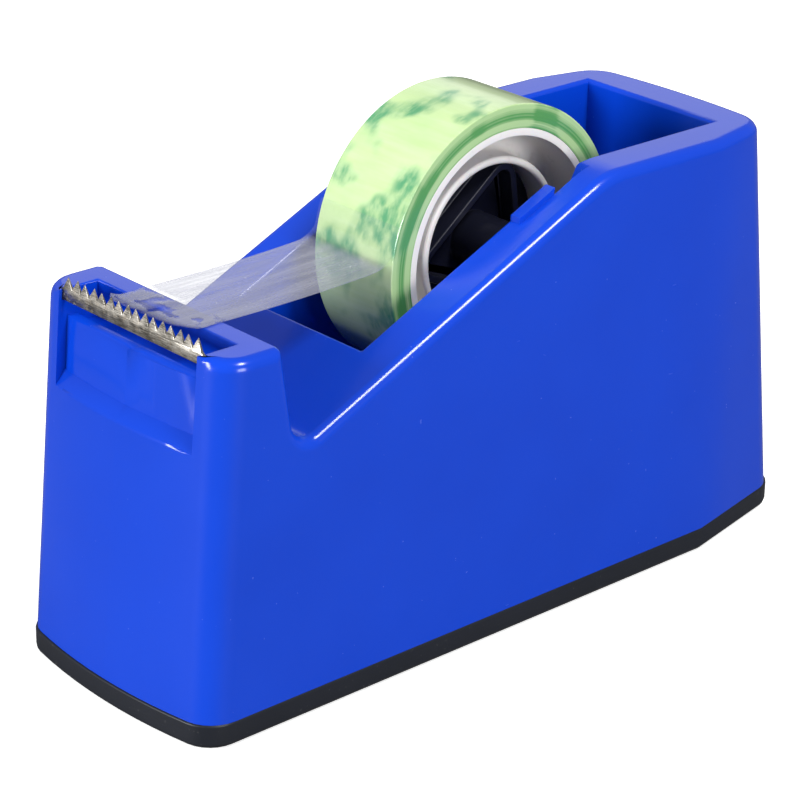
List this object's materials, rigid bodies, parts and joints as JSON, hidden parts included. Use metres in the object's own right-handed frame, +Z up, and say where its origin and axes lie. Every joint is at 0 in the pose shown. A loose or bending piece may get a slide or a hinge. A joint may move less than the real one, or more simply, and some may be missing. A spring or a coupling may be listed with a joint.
{
  "type": "tape dispenser",
  "caption": "Weighted desktop tape dispenser: hollow blue body with a roll well, slanted spindle slots, a toothed steel blade on its nose and a roll of tape that turns and lifts out.",
  "frame": {"origin": "centre of the footprint, on the surface that the feet stand on", "axes": "+Z up, -Y the way the cutting nose points, +X the right side seen from the nose"},
  "size_m": [0.046, 0.1344, 0.0825],
  "materials": {
    "body_blue": "glossy moulded plastic",
    "base_black": "satin moulded plastic",
    "ballast_iron": "rough casting",
    "foot_rubber": "soft rubber",
    "screw_steel": "zinc plated",
    "blade_steel": "stamped strip steel",
    "hub_black": "satin moulded plastic",
    "core_white": "moulded plastic",
    "tape_green": "wound clear tape over printed backing",
    "tape_clear": "clear film with adhesive"
  },
  "bodies": {
    "housing": {"body_shell": "body_blue", "base_plate": "base_black", "ballast_block": "ballast_iron", "front_left_foot": "foot_rubber", "front_right_foot": "foot_rubber", "rear_left_foot": "foot_rubber", "rear_right_foot": "foot_rubber", "base_screws": "screw_steel", "cutter_blade": "blade_steel", "tape_end": "tape_clear"},
    "axle": {"spindle": "hub_black"},
    "roll": {"hub": "hub_black", "tape_core": "core_white", "tape_roll": "tape_green"}
  },
  "joints": [
    {"name": "roll_lift", "type": "slide", "parent": "housing", "child": "axle", "axis": [0, 0.4787, 0.878], "range_m": [0, 0.045]},
    {"name": "roll_spin", "type": "hinge", "parent": "axle", "child": "roll", "pos_m": [0, 0.006, 0.0588], "axis": [1, 0, 0], "continuous": true}
  ]
}
